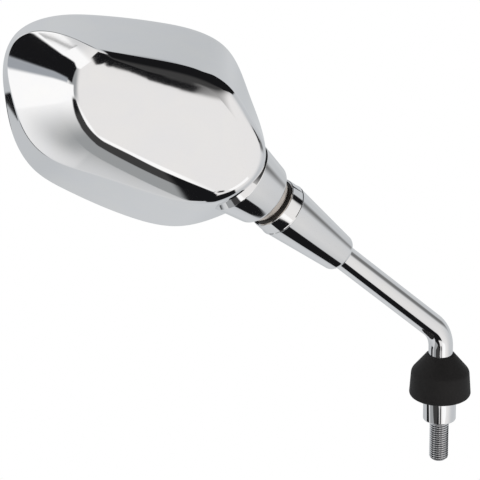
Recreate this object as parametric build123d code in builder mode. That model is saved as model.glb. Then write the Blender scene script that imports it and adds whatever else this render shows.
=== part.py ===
from build123d import *
import os
from math import acos, asin, cos, degrees, radians, sin, sqrt, tan

# Motorcycle mirror, in millimetres. The origin is on the stud's axis, on the seat
# under the round shoulder. +Z runs up the stud's axis, and the bent stem lies in
# the XZ plane and rises towards -X. The glass looks roughly along +Y.

# Adaptor: a stud that screws into the handlebar clamp, and a shoulder above it
stud_diameter = 10.0
stud_length = 23.0
stud_chamfer = 1.3
shoulder_diameter = 17.0
shoulder_height = 17.0
shoulder_edge_radius = 0.5
foot_thread_depth = 12.0

# Lock nut and washer that hold the stem in the adaptor
lock_washer_thickness = 1.6
lock_washer_diameter = 17.0
lock_nut_flats = 17.0
lock_nut_height = 6.5
thread_run_out = 1.0

# Stem: a bent round bar with a thread at its foot and a thinner one at its top
stem_diameter = 12.5
foot_thread_diameter = 10.0
stem_inclination = 42.0
bend_radius = 17.5
bend_to_joint = 138.0
spigot_diameter = 8.0
spigot_tip_chamfer = 0.8

# Rubber boot over the lock nut
boot_overlap = 3.4
boot_foot_diameter = 32.0
boot_corner_diameter = 30.0
boot_side_height = 13.6
boot_height = 23.0
boot_lip_width = 1.0
boot_foot_radius = 1.2
boot_corner_radius = 1.5
boot_nut_clearance = 0.8
boot_lift = 4.2

# Conical sleeve with the cup of the ball joint, measured down from the joint
cup_rim_drop = 8.0
cup_rim_wall = 1.0
ridge_drop = 15.0
ridge_flare = 0.5
sleeve_end_drop = 57.5
sleeve_end_diameter = 18.4
sleeve_end_radius = 2.4
cup_floor_thickness = 4.0

# Ball joint: dome of the neck, liner, domed washer, disc springs and nut
dome_radius = 13.0
dome_wall = 3.0
head_swing = 14.2
swing_clearance = 0.5
liner_thickness = 1.2
liner_edge_angle = 2.0
liner_high_angle = 54.0
seat_washer_edge = 1.2
disc_diameter = 15.6
disc_thickness = 0.8
disc_rise = 0.6
spring_washer_diameter = 16.0
spring_washer_thickness = 1.6
joint_nut_flats = 13.0
joint_nut_height = 6.0
nut_collar_height = 2.0
nut_collar_wall = 0.7
spigot_stand_out = 1.5

# Neck of the housing, measured up from the joint
neck_end_drop = 1.5
neck_end_ledge = 2.5
neck_lip_radius = 2.2
neck_half_angle = 10.5
neck_straight = 14.0
neck_reach = 30.0
neck_root_diameter = 20.0
neck_throat = 5.0
neck_wall = 3.0

# Mirror head: a plane that lies on the housing's front rim, its back looking up
# along the plane's normal, and the joint's place in that plane
head_yaw = 23.5
head_pitch = 16.0
joint_across = 58.0
joint_below = 36.5
joint_behind = 16.0

# Housing: rim outline, shoulder outline where the flanks end, and the back
pocket_depth = 7.0
shoulder_level = 36.0
housing_wall = 2.5
rim_ledge = 1.5
back_turn = -14.0
back_crown_radius = 220.0
skirt_draft = 47.0
crest_margin = 4.0
crest_radius = 8.0

# Glass, its foam pad and the carrier tray
glass_thickness = 2.5
glass_curve_radius = 1200.0
glass_recess = 0.8
glass_edge_gap = 0.3
pad_thickness = 1.0
pad_inset = 3.0
carrier_lip = 2.2
carrier_recess = 0.4

# Clearances
running_gap = 0.1
slip_gap = 0.05

# Points of the rim outline, clockwise from the left end
rim_points = [
    (-60.5, 31.5),
    (-55.0, 42.5),
    (-38.0, 50.5),
    (-15.5, 50.5),
    (14.5, 46.0),
    (30.0, 42.0),
    (44.5, 33.5),
    (55.0, 11.0),
    (62.0, -16.0),
    (60.0, -30.0),
    (50.8, -41.2),
    (37.8, -47.6),
    (18.6, -51.4),
    (-4.5, -46.0),
    (-34.0, -32.0),
    (-48.5, -22.0),
    (-56.0, -10.5),
    (-61.0, 13.0),
]

# Points of the shoulder outline, one for each point of the rim
shoulder_points = [
    (-43.0, 24.0),
    (-37.0, 30.5),
    (-27.0, 33.0),
    (-9.0, 31.0),
    (14.0, 27.0),
    (30.0, 23.0),
    (43.0, 16.5),
    (53.0, 1.5),
    (59.5, -16.0),
    (57.0, -26.5),
    (49.0, -35.0),
    (37.0, -39.0),
    (21.0, -37.5),
    (0.0, -29.0),
    (-22.0, -18.0),
    (-33.0, -11.0),
    (-40.0, -3.0),
    (-44.0, 12.0),
]

# Profile of the back's panel, from the left rim to the right: across and above the rim
back_points = [
    (-74.0, 2.0),
    (-66.0, 12.0),
    (-48.0, 27.5),
    (-20.0, 38.5),
    (20.0, 43.0),
    (74.0, 44.0),
]

# Line of the skirt that falls away from the panel's edge, at the shoulder level, from
# the top left corner round to the lower right
skirt_points = [
    (-6.3, 39.4),
    (-18.4, 29.4),
    (-24.3, 23.4),
    (-27.2, 15.0),
    (-26.2, 2.5),
    (-20.8, -9.4),
    (-10.5, -18.9),
    (7.3, -30.1),
    (25.7, -39.3),
    (47.6, -48.6),
]

# Worked-out sizes of the foot
stud_radius = stud_diameter / 2
shoulder_radius = shoulder_diameter / 2
stem_radius = stem_diameter / 2
foot_thread_radius = foot_thread_diameter / 2
lock_nut_level = shoulder_height + lock_washer_thickness
lock_nut_top = lock_nut_level + lock_nut_height
stem_foot_level = lock_nut_top + thread_run_out
boot_level = shoulder_height - boot_overlap
boot_top = boot_level + boot_height
boot_corner_level = boot_level + boot_side_height
boot_cavity_radius = lock_nut_flats / 2 / cos(radians(30)) + boot_nut_clearance

# Worked-out stem line: up from the foot, round the bend and on to the joint
bend_turn = 90 - stem_inclination
bend_level = boot_top + boot_lift + bend_radius * tan(radians(bend_turn / 2))
stem_direction = Vector(-cos(radians(stem_inclination)), 0, sin(radians(stem_inclination)))
bend_corner = Vector(0, 0, bend_level)
joint_centre = bend_corner + stem_direction * bend_to_joint
joint_axis = Axis(joint_centre, stem_direction)
joint_profile = Plane(
    origin=joint_centre,
    x_dir=(0, 1, 0),
    z_dir=(sin(radians(stem_inclination)), 0, cos(radians(stem_inclination))),
)

# Worked-out radii and levels of the ball joint, with levels above the joint centre
liner_inner_radius = dome_radius + running_gap
liner_outer_radius = liner_inner_radius + liner_thickness
cup_radius = liner_outer_radius + running_gap
dome_inner_radius = dome_radius - dome_wall
neck_end_radius = dome_radius + neck_end_ledge
seat_washer_radius = dome_inner_radius - running_gap
spigot_radius = spigot_diameter / 2
spigot_hole_radius = spigot_radius + slip_gap
cup_seat_radius = sqrt(cup_radius**2 - cup_rim_drop**2)
cup_rim_radius = cup_seat_radius + cup_rim_wall
spigot_angle = degrees(asin((spigot_radius + swing_clearance) / dome_inner_radius))
dome_hole_angle = spigot_angle + head_swing
liner_low_angle = dome_hole_angle + liner_edge_angle
seat_washer_angle = dome_hole_angle + head_swing + liner_edge_angle
cup_floor_level = -cup_radius - cup_floor_thickness
seat_washer_rim = seat_washer_radius * sin(radians(seat_washer_angle))
seat_washer_top = -seat_washer_radius * cos(radians(seat_washer_angle)) + seat_washer_edge
disc_meeting_level = seat_washer_top + disc_rise + disc_thickness
spring_washer_level = disc_meeting_level + disc_thickness + disc_rise
joint_nut_level = spring_washer_level + spring_washer_thickness
nut_collar_level = joint_nut_level + joint_nut_height
nut_collar_top = nut_collar_level + nut_collar_height
spigot_top = nut_collar_top + spigot_stand_out

# Worked-out frame of the head
head_across = Vector(cos(radians(head_yaw)), -sin(radians(head_yaw)), 0)
head_back = Vector(
    -sin(radians(head_yaw)) * cos(radians(head_pitch)),
    -cos(radians(head_yaw)) * cos(radians(head_pitch)),
    sin(radians(head_pitch)),
)
head_up = head_back.cross(head_across)
head_centre = (
    joint_centre - head_across * joint_across + head_up * joint_below - head_back * joint_behind
)
head_plane = Plane(origin=head_centre, x_dir=head_across, z_dir=head_back)

os.makedirs("parts", exist_ok=True)


def save(builder, name):
    builder.part.label = name
    export_step(builder.part, f"parts/{name}.step")


def neck_cone(level):
    """Outer radius of the neck at a level above the joint."""
    return neck_end_radius + (level + neck_end_drop) * tan(radians(neck_half_angle))


def inset(points, amount):
    """Moves each point of a clockwise outline inwards, square to its neighbours."""
    return move_aside(points, points[-1:] + points[:-1], points[1:] + points[:1], amount)


def move_aside(points, before_points, after_points, amount):
    """Moves points to the right of the way that leads past them."""
    moved = []
    for point, before, after in zip(points, before_points, after_points):
        way = (Vector(*after) - Vector(*before)).normalized()
        place = Vector(*point) + way.rotate(Axis.Z, -90) * amount
        moved.append((place.X, place.Y))
    return moved


# Adaptor with stud, shoulder and the threaded hole for the stem's foot
with BuildPart() as adaptor_stud:
    with BuildSketch(Plane.XZ):
        with BuildLine():
            Polyline(
                (0, -stud_length),
                (stud_radius - stud_chamfer, -stud_length),
                (stud_radius, -stud_length + stud_chamfer),
                (stud_radius, 0),
                (shoulder_radius, 0),
                (shoulder_radius, shoulder_height),
                (foot_thread_radius + slip_gap, shoulder_height),
                (foot_thread_radius + slip_gap, shoulder_height - foot_thread_depth),
                (0, shoulder_height - foot_thread_depth),
                close=True,
            )
        make_face()
    revolve(axis=Axis.Z)
    seat_edge = adaptor_stud.edges().filter_by(GeomType.CIRCLE).filter_by(
        lambda edge: abs(edge.radius - shoulder_radius) < slip_gap
    )
    fillet(seat_edge, radius=shoulder_edge_radius)
save(adaptor_stud, "adaptor_stud")


# Washer and nut that lock the stem's foot
with BuildPart() as lock_washer:
    with BuildSketch(Plane.XY.offset(shoulder_height)):
        Circle(lock_washer_diameter / 2)
        Circle(foot_thread_radius + slip_gap, mode=Mode.SUBTRACT)
    extrude(amount=lock_washer_thickness)
save(lock_washer, "lock_washer")


def hexagon_nut(plane, flats, height, hole_radius):
    """Hexagon nut with both faces turned down to a round."""
    corner_radius = flats / 2 / cos(radians(30))
    bevel = (corner_radius - flats / 2) * tan(radians(30))
    with BuildPart() as nut:
        with BuildSketch(plane):
            RegularPolygon(flats / 2, 6, major_radius=False)
        extrude(amount=height)
        with BuildSketch(Plane(plane.origin, x_dir=plane.x_dir, z_dir=-plane.y_dir)):
            with BuildLine():
                Polyline(
                    (0, 0),
                    (flats / 2, 0),
                    (corner_radius, bevel),
                    (corner_radius, height - bevel),
                    (flats / 2, height),
                    (0, height),
                    close=True,
                )
            make_face()
        revolve(axis=Axis(plane.origin, plane.z_dir), mode=Mode.INTERSECT)
        with BuildSketch(plane):
            Circle(hole_radius)
        extrude(amount=height, mode=Mode.SUBTRACT)
    return nut


lock_nut = hexagon_nut(
    Plane.XY.offset(lock_nut_level), lock_nut_flats, lock_nut_height, foot_thread_radius + slip_gap
)
save(lock_nut, "lock_nut")


# Stem: bent bar, its foot and its top turned down for their threads
with BuildPart() as stem_rod:
    with BuildLine():
        FilletPolyline(
            (0, 0, stem_foot_level),
            bend_corner,
            joint_centre + stem_direction * cup_floor_level,
            radius=bend_radius,
        )
    with BuildSketch(Plane.XY.offset(stem_foot_level)):
        Circle(stem_radius)
    sweep()
    with BuildSketch(Plane.XY.offset(shoulder_height - foot_thread_depth)):
        Circle(foot_thread_radius)
    extrude(amount=foot_thread_depth - shoulder_height + stem_foot_level)
    with BuildSketch(Plane(joint_centre + stem_direction * cup_floor_level, z_dir=stem_direction)):
        Circle(spigot_radius)
    extrude(amount=spigot_top - cup_floor_level)
    tip = stem_rod.edges().filter_by(GeomType.CIRCLE).sort_by(Axis.Z)[-1]
    chamfer(tip, length=spigot_tip_chamfer)
save(stem_rod, "stem_rod")


# Boot: thick rubber bell, open below, snug on the stem above
with BuildPart() as rubber_boot:
    with BuildSketch(Plane.XZ) as boot_profile:
        with BuildLine():
            Polyline(
                (boot_cavity_radius, boot_level),
                (boot_foot_diameter / 2, boot_level),
                (boot_corner_diameter / 2, boot_corner_level),
                (stem_radius + boot_lip_width, boot_top),
                (stem_radius + running_gap, boot_top),
                (stem_radius + running_gap, stem_foot_level + boot_cavity_radius - stem_radius),
                (boot_cavity_radius, stem_foot_level),
                close=True,
            )
        make_face()
        outside = boot_profile.vertices().sort_by(Axis.X)
        fillet(outside[-1], radius=boot_foot_radius)
        corner = boot_profile.vertices().filter_by_position(
            Axis.Y, boot_corner_level - slip_gap, boot_corner_level + slip_gap
        )
        fillet(corner.sort_by(Axis.X)[-1], radius=boot_corner_radius)
    revolve(axis=Axis.Z)
save(rubber_boot, "rubber_boot")


# Sleeve: cone over the top of the stem, ending in the cup of the ball joint
with BuildPart() as stem_sleeve:
    rim_angle = degrees(asin(cup_seat_radius / cup_radius))
    hole_angle = degrees(asin(spigot_hole_radius / cup_radius))
    with BuildSketch(joint_profile) as sleeve_profile:
        with BuildLine():
            seat = CenterArc((0, 0), cup_radius, hole_angle - 90, rim_angle - hole_angle)
            Polyline(
                seat @ 1,
                (cup_rim_radius, -cup_rim_drop),
                (cup_rim_radius + ridge_flare, -ridge_drop),
                (sleeve_end_diameter / 2, -sleeve_end_drop),
                (stem_radius + slip_gap, -sleeve_end_drop),
                (stem_radius + slip_gap, cup_floor_level),
                (spigot_hole_radius, cup_floor_level),
                seat @ 0,
            )
        make_face()
        foot = sleeve_profile.vertices().group_by(Axis.Y)[0].sort_by(Axis.X)[-1]
        fillet(foot, radius=sleeve_end_radius)
    revolve(axis=joint_axis)
save(stem_sleeve, "stem_sleeve")


# Liner: thin spherical ring between the neck's dome and the cup
with BuildPart() as friction_liner:
    liner_span = liner_high_angle - liner_low_angle
    with BuildSketch(joint_profile):
        with BuildLine():
            inner_arc = CenterArc((0, 0), liner_inner_radius, liner_low_angle - 90, liner_span)
            outer_arc = CenterArc((0, 0), liner_outer_radius, liner_low_angle - 90, liner_span)
            Line(inner_arc @ 0, outer_arc @ 0)
            Line(inner_arc @ 1, outer_arc @ 1)
        make_face()
    revolve(axis=joint_axis)
save(friction_liner, "friction_liner")


# Domed washer inside the neck's dome
with BuildPart() as seat_washer:
    washer_hole_angle = degrees(asin(spigot_hole_radius / seat_washer_radius))
    with BuildSketch(joint_profile):
        with BuildLine():
            sole = CenterArc(
                (0, 0),
                seat_washer_radius,
                washer_hole_angle - 90,
                seat_washer_angle - washer_hole_angle,
            )
            Polyline(
                sole @ 1,
                (seat_washer_rim, seat_washer_top),
                (spigot_hole_radius, seat_washer_top),
                sole @ 0,
            )
        make_face()
    revolve(axis=joint_axis)
save(seat_washer, "seat_washer")


# Two disc springs, rim to rim
for name, inner_level, outer_level in (
    ("spring_disc_lower", seat_washer_top, seat_washer_top + disc_rise),
    ("spring_disc_upper", disc_meeting_level + disc_rise, disc_meeting_level),
):
    with BuildPart() as spring_disc:
        with BuildSketch(joint_profile):
            with BuildLine():
                Polyline(
                    (spigot_hole_radius, inner_level),
                    (disc_diameter / 2, outer_level),
                    (disc_diameter / 2, outer_level + disc_thickness),
                    (spigot_hole_radius, inner_level + disc_thickness),
                    close=True,
                )
            make_face()
        revolve(axis=joint_axis)
    save(spring_disc, name)


# Plain washer on the springs
with BuildPart() as spring_washer:
    washer_plane = Plane(joint_centre + stem_direction * spring_washer_level, z_dir=stem_direction)
    with BuildSketch(washer_plane):
        Circle(spring_washer_diameter / 2)
        Circle(spigot_hole_radius, mode=Mode.SUBTRACT)
    extrude(amount=spring_washer_thickness)
save(spring_washer, "spring_washer")


# Self-locking nut: hexagon with a round collar that holds a nylon ring
nut_plane = Plane(
    joint_centre + stem_direction * joint_nut_level, x_dir=(0, 1, 0), z_dir=stem_direction
)
collar_plane = nut_plane.offset(joint_nut_height)
collar_radius = joint_nut_flats / 2 - nut_collar_wall
insert_radius = collar_radius - nut_collar_wall
plain_nut = hexagon_nut(nut_plane, joint_nut_flats, joint_nut_height, spigot_hole_radius)
with BuildPart() as joint_nut:
    add(plain_nut.part)
    with BuildSketch(collar_plane):
        Circle(collar_radius)
        Circle(insert_radius, mode=Mode.SUBTRACT)
    extrude(amount=nut_collar_height)
save(joint_nut, "joint_nut")

with BuildPart() as nut_insert:
    with BuildSketch(collar_plane):
        Circle(insert_radius - slip_gap)
        Circle(spigot_hole_radius, mode=Mode.SUBTRACT)
    extrude(amount=nut_collar_height)
save(nut_insert, "nut_insert")


# Housing: forms that its outside and its hollow share
back_side = head_across.rotate(Axis((0, 0, 0), head_back), back_turn)
back_plane = Plane(origin=head_centre, x_dir=back_side, z_dir=back_side.cross(head_back))
crown_level = max(level for across, level in back_points)
crown_axis = Axis(head_centre - head_back * (back_crown_radius - crown_level), back_side)
crown_sweep = 40
beyond = 3 * crown_level
crest_level = crown_level + crest_margin


def outline_at(level, inwards=0):
    """Outline of the flanks at a level above the rim, moved inwards by an amount."""
    climb = level / shoulder_level
    points = []
    for (rim_x, rim_y), (top_x, top_y) in zip(rim_points, shoulder_points):
        points.append((rim_x + (top_x - rim_x) * climb, rim_y + (top_y - rim_y) * climb))
    return inset(points, inwards)


def flank_form(low_level, high_level, inwards):
    """Solid inside the flanks between two levels, moved inwards by an amount."""
    with BuildPart() as form:
        for level in (low_level, high_level):
            with BuildSketch(head_plane.offset(level)):
                with BuildLine():
                    Spline(*outline_at(level, inwards), periodic=True)
                make_face()
        loft(ruled=True)
    return form.part


def crowned_form(raised):
    """Barrel below the panel's profile, lifted by an amount along the back."""
    lifted = [(across, level + raised) for across, level in back_points]
    with BuildPart() as form:
        with BuildSketch(back_plane):
            with BuildLine():
                crest = Spline(*lifted)
                Polyline(
                    crest @ 1,
                    crest @ 1 - (0, beyond),
                    crest @ 0 - (0, beyond),
                    crest @ 0,
                )
            make_face()
        revolve(axis=crown_axis, revolution_arc=crown_sweep)
    return form.part.rotate(crown_axis, -crown_sweep / 2)


def skirt_form(lowered):
    """Space inside the skirt, lowered by an amount, wider at its foot by the draft."""
    before_points = skirt_points[:1] + skirt_points[:-1]
    after_points = skirt_points[1:] + skirt_points[-1:]
    with BuildPart() as form:
        for level in (0, crest_level):
            outwards = (shoulder_level - level - lowered) * tan(radians(skirt_draft))
            edge_points = move_aside(skirt_points, before_points, after_points, outwards)
            with BuildSketch(head_plane.offset(level)):
                with BuildLine():
                    free_edge = Spline(*edge_points)
                    Polyline(
                        free_edge @ 1,
                        free_edge @ 1 + (beyond, -beyond),
                        free_edge @ 0 + (beyond, beyond),
                        free_edge @ 0,
                    )
                make_face()
        loft(ruled=True)
    return form.part


def clear_of_rim(edge):
    ends = [head_plane.to_local_coords(edge @ place).Z for place in (0, 1)]
    return min(ends) > slip_gap


with BuildPart() as outside_form:
    add(flank_form(0, crest_level, 0))
    add(crowned_form(0), mode=Mode.INTERSECT)
    add(skirt_form(0), mode=Mode.INTERSECT)
    fillet(outside_form.edges().filter_by(clear_of_rim), radius=crest_radius)

with BuildPart() as hollow_form:
    add(flank_form(pocket_depth, crest_level, housing_wall + rim_ledge))
    add(crowned_form(-housing_wall), mode=Mode.INTERSECT)
    add(skirt_form(housing_wall / sin(radians(skirt_draft))), mode=Mode.INTERSECT)


# Housing: outside and neck, less the hollow, the pocket for the carrier and the bore
with BuildPart() as housing_shell:
    add(outside_form.part)
    with BuildSketch(joint_profile) as neck_profile:
        with BuildLine():
            neck_end_angle = degrees(acos(neck_end_drop / dome_radius))
            dome = CenterArc(
                (0, 0), dome_radius, dome_hole_angle - 90, neck_end_angle - dome_hole_angle
            )
            Polyline(
                dome @ 1,
                (neck_cone(-neck_end_drop), -neck_end_drop),
                (neck_cone(neck_straight), neck_straight),
                (neck_root_diameter / 2, neck_reach),
                (0, neck_reach),
                (0, (dome @ 0).Y),
                dome @ 0,
            )
        make_face()
        lip = neck_profile.vertices().filter_by_position(
            Axis.Y, -neck_end_drop - slip_gap, -neck_end_drop + slip_gap
        )
        fillet(lip.sort_by(Axis.X)[-1], radius=neck_lip_radius)
    revolve(axis=joint_axis)
    add(hollow_form.part, mode=Mode.SUBTRACT)
    add(flank_form(0, pocket_depth, housing_wall), mode=Mode.SUBTRACT)
    with BuildSketch(joint_profile):
        with BuildLine():
            socket = CenterArc(
                (0, 0), dome_inner_radius, dome_hole_angle - 90, 90 - dome_hole_angle
            )
            Polyline(
                socket @ 1,
                (neck_cone(neck_throat) - neck_wall, neck_throat),
                (neck_cone(neck_straight) - neck_wall, neck_straight),
                (neck_root_diameter / 2 - neck_wall, neck_reach),
                (0, neck_reach),
                (0, -2 * dome_radius),
                (2 * dome_radius * tan(radians(dome_hole_angle)), -2 * dome_radius),
                socket @ 0,
            )
        make_face()
    revolve(axis=joint_axis, mode=Mode.SUBTRACT)
save(housing_shell, "housing_shell")


# Glass, pad and carrier share one centre of curvature in front of the rim's plane
curve_centre = head_centre + head_back * (glass_curve_radius + glass_recess)
glass_back_radius = glass_curve_radius - glass_thickness
pad_back_radius = glass_back_radius - pad_thickness


def curved_slab(inwards, front_radius, back_radius):
    """Slab of an outline moved inwards, between two spheres round the curve centre."""
    with BuildPart() as slab:
        with BuildSketch(head_plane.offset(-pocket_depth)):
            with BuildLine():
                Spline(*outline_at(pocket_depth, inwards), periodic=True)
            make_face()
        extrude(amount=3 * pocket_depth)
        with Locations(curve_centre):
            Sphere(front_radius, mode=Mode.INTERSECT)
            Sphere(back_radius, mode=Mode.SUBTRACT)
    return slab


opening_inset = housing_wall + slip_gap + carrier_lip
glass_inset = opening_inset + glass_edge_gap
mirror_glass = curved_slab(glass_inset, glass_curve_radius, glass_back_radius)
save(mirror_glass, "mirror_glass")
glass_pad = curved_slab(glass_inset + pad_inset, glass_back_radius, pad_back_radius)
save(glass_pad, "glass_pad")

# Carrier: tray that closes the housing's front, with a lip round the glass
with BuildPart() as glass_carrier:
    add(flank_form(carrier_recess, pocket_depth, housing_wall + slip_gap))
    opening = curved_slab(opening_inset, 2 * glass_curve_radius, pad_back_radius)
    add(opening.part, mode=Mode.SUBTRACT)
save(glass_carrier, "glass_carrier")
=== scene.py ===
# %% [markdown]
# # A chromed motorcycle mirror
# The mirror is a chromed housing on a bent stem, with a ball joint between them and a
# threaded stud at the foot. Its solids already exist, and could be shown as they are,
# but polished chrome shows every facet. So we load the solids and make each piece that
# shows again as a fine smooth mesh. All points are written in millimetres, in the frame
# of the solids, and are turned into metres when a mesh is made.

# %% Load the solids
from math import acos, asin, cos, degrees, pi, radians, sin, sqrt, tan

import bmesh
import bpy
import numpy as np
from mathutils import Matrix, Vector


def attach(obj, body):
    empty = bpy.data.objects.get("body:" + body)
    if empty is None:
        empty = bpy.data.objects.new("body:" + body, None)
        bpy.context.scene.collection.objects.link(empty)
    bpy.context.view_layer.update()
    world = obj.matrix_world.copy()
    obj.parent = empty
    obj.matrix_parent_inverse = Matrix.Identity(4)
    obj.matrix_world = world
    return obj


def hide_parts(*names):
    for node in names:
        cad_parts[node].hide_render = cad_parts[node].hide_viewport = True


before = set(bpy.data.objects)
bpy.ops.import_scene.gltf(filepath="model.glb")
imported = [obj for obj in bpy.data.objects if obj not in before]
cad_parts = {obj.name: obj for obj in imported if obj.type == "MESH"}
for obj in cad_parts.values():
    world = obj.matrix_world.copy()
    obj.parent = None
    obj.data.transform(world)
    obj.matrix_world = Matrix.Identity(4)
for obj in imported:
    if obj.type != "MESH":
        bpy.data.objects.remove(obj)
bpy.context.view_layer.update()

scene = bpy.context.scene
scene.view_settings.view_transform = "Standard"

# %% [markdown]
# ## The camera
# The picture looks at the back of the mirror's head, from a little above it. A camera can
# be aimed with a constraint, but here its three axes are known: right, up, and the one
# that points back from the picture. Written as a matrix they place it exactly. A long
# lens keeps the stem's sides nearly parallel.

# %% Set the camera
view_right = Vector((0.8884, -0.4587, -0.0197)).normalized()
view_back = Vector((-0.4252, -0.8380, 0.3420)).normalized()
view_right = (view_right - view_back * view_right.dot(view_back)).normalized()
view_up = view_back.cross(view_right)
camera_place = Vector((-0.475, -0.711, 0.410))

lens = bpy.data.cameras.new("studio_camera")
lens.sensor_width = 36.0
lens.lens = 135.0
lens.clip_start = 0.05
camera = bpy.data.objects.new("studio_camera", lens)
scene.collection.objects.link(camera)
camera_axes = Matrix((view_right, view_up, view_back)).transposed()
camera.matrix_world = Matrix.Translation(camera_place) @ camera_axes.to_4x4()
scene.camera = camera
print("camera at", tuple(round(value, 3) for value in camera.location))

# %% [markdown]
# ## What a finish is made of
# A real surface is never one flat value: its colour drifts, its gloss is patchy, and it
# has a grain. Painted pictures could carry that, but they need unwrapping and blur when
# seen close. Noise that is worked out from a point's own place needs neither, so every
# finish here is noise that drives a shader's colour, roughness or bump.

# %% Start a finish
def new_finish(name, colour, metallic, roughness):
    material = bpy.data.materials.new(name)
    material.use_nodes = True
    shader = material.node_tree.nodes["Principled BSDF"]
    shader.inputs["Base Color"].default_value = (*colour, 1)
    shader.inputs["Metallic"].default_value = metallic
    shader.inputs["Roughness"].default_value = roughness
    return material, material.node_tree, shader


def noise(tree, scale, detail, distortion=0.0):
    place = tree.nodes.new("ShaderNodeTexCoord")
    texture = tree.nodes.new("ShaderNodeTexNoise")
    texture.inputs["Scale"].default_value = scale
    texture.inputs["Detail"].default_value = detail
    texture.inputs["Distortion"].default_value = distortion
    tree.links.new(place.outputs["Object"], texture.inputs["Vector"])
    return texture.outputs["Fac"]


print("finishes start from:", new_finish.__name__, noise.__name__)


# %% Let noise drive colour, gloss and grain
def blended(tree, value, low_colour, high_colour):
    """Mixes two colours by a value of 0 to 1."""
    ramp = tree.nodes.new("ShaderNodeValToRGB")
    ramp.color_ramp.elements[0].color = (*low_colour, 1)
    ramp.color_ramp.elements[1].color = (*high_colour, 1)
    ramp.color_ramp.elements[0].position = 0.3
    ramp.color_ramp.elements[1].position = 0.7
    tree.links.new(value, ramp.inputs["Fac"])
    return ramp.outputs["Color"]


def coloured(tree, shader, value, low_colour, high_colour):
    tree.links.new(blended(tree, value, low_colour, high_colour), shader.inputs["Base Color"])


def dulled(tree, shader, value, low, high):
    """Spreads a value of 0 to 1 over a range of roughness."""
    spread = tree.nodes.new("ShaderNodeMapRange")
    spread.inputs["To Min"].default_value = low
    spread.inputs["To Max"].default_value = high
    tree.links.new(value, spread.inputs["Value"])
    tree.links.new(spread.outputs["Result"], shader.inputs["Roughness"])


def bumped(tree, shader, value, strength, distance):
    bump = tree.nodes.new("ShaderNodeBump")
    bump.inputs["Strength"].default_value = strength
    bump.inputs["Distance"].default_value = distance
    tree.links.new(value, bump.inputs["Height"])
    tree.links.new(bump.outputs["Normal"], shader.inputs["Normal"])


print("noise can drive:", coloured.__name__, dulled.__name__, bumped.__name__)

# %% [markdown]
# ## Chrome plate
# The housing, stem and sleeve are chrome plated. A metal shader with no roughness would
# be a perfect mirror, and a perfect mirror looks drawn. So the plate gets what real plate
# has: a faint ripple left by the buffing wheel, and a film that dulls it in places.

# %% Chrome plate
chrome_colour = (0.80, 0.805, 0.815)


def chrome_plate(name, roughness_low, roughness_high, ripple):
    material, tree, shader = new_finish(name, chrome_colour, 1.0, roughness_low)
    film = noise(tree, 60, 4, 0.6)
    dulled(tree, shader, film, roughness_low, roughness_high)
    coloured(tree, shader, film, (0.79, 0.795, 0.81), (0.81, 0.81, 0.81))
    bumped(tree, shader, noise(tree, 45, 1), ripple, 0.0004)
    return material


head_chrome = chrome_plate("housing_chrome", 0.03, 0.055, 0.02)
bar_chrome = chrome_plate("stem_chrome", 0.035, 0.065, 0.015)
print("chrome plates:", head_chrome.name, bar_chrome.name)

# %% [markdown]
# ## Chrome on the thread
# A thread is bright on its crests, and its valleys are painted dark as painted shade.
# The valleys could be a second material on chosen faces, but a material can also find
# them by itself: a point's distance from the stud's axis says how deep it lies.

# %% Chrome on the thread
thread_chrome, tree, shader = new_finish("stud_chrome", chrome_colour, 1.0, 0.12)
place = tree.nodes.new("ShaderNodeTexCoord").outputs["Object"]
flattened = tree.nodes.new("ShaderNodeVectorMath")
flattened.operation = "MULTIPLY"
flattened.inputs[1].default_value = (1, 1, 0)
tree.links.new(place, flattened.inputs[0])
from_stud_axis = tree.nodes.new("ShaderNodeVectorMath")
from_stud_axis.operation = "LENGTH"
tree.links.new(flattened.outputs["Vector"], from_stud_axis.inputs[0])
tooth_height = tree.nodes.new("ShaderNodeMapRange")
tooth_height.inputs["From Min"].default_value = 0.0043
tooth_height.inputs["From Max"].default_value = 0.0049
tree.links.new(from_stud_axis.outputs["Value"], tooth_height.inputs["Value"])
# Painted shade: the valleys get a dark colour, and the crests keep the chrome colour.
coloured(tree, shader, tooth_height.outputs["Result"], (0.2, 0.2, 0.21), chrome_colour)
dulled(tree, shader, noise(tree, 300, 4), 0.09, 0.17)
print("thread finish:", thread_chrome.name, "nodes:", len(tree.nodes))


# %% [markdown]
# ## Plainer finishes
# The dome in the joint is duller chrome, tinted tan as a painted warm reflection. The boot is matt
# black rubber with a moulded grain, and the hidden pieces are plastic, nylon, foam and zinc plate.
# Each could be written out in full, but they share one pattern, so one helper lays two close colours
# in patches, and each finish then adds only its own gloss and grain.

# %% Dome with a painted warm reflection, and boot rubber
def mottled(name, colour, metallic, roughness, scale, detail, low_colour, high_colour):
    """Finish whose colour drifts between two close colours."""
    material, tree, shader = new_finish(name, colour, metallic, roughness)
    coloured(tree, shader, noise(tree, scale, detail), low_colour, high_colour)
    return material, tree, shader


# The dome is duller chrome given a tan colour: the tan is a painted warm reflection.
dome_tan_reflection, tree, shader = mottled(
    "dome_tan_reflection", (0.66, 0.59, 0.53), 1.0, 0.12, 80, 4, (0.62, 0.55, 0.49), (0.69, 0.62, 0.56)
)
dulled(tree, shader, noise(tree, 250, 4), 0.1, 0.2)

boot_rubber, tree, shader = mottled(
    "boot_rubber", (0.0125, 0.012, 0.012), 0.0, 0.6,
    90, 5, (0.0105, 0.01, 0.01), (0.0155, 0.0145, 0.0145),
)
grain = noise(tree, 900, 6)
dulled(tree, shader, grain, 0.55, 0.75)
shader.inputs["Specular IOR Level"].default_value = 0.3
bumped(tree, shader, grain, 0.25, 0.00008)
print("finishes made:", dome_tan_reflection.name, boot_rubber.name)

# %% Plastics and nylon
carrier_plastic, tree, shader = mottled(
    "carrier_plastic", (0.02, 0.02, 0.021), 0.0, 0.5,
    50, 3, (0.017, 0.017, 0.018), (0.024, 0.024, 0.025),
)
grain = noise(tree, 1400, 3)
dulled(tree, shader, grain, 0.4, 0.6)
bumped(tree, shader, grain, 0.3, 0.00005)

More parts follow.
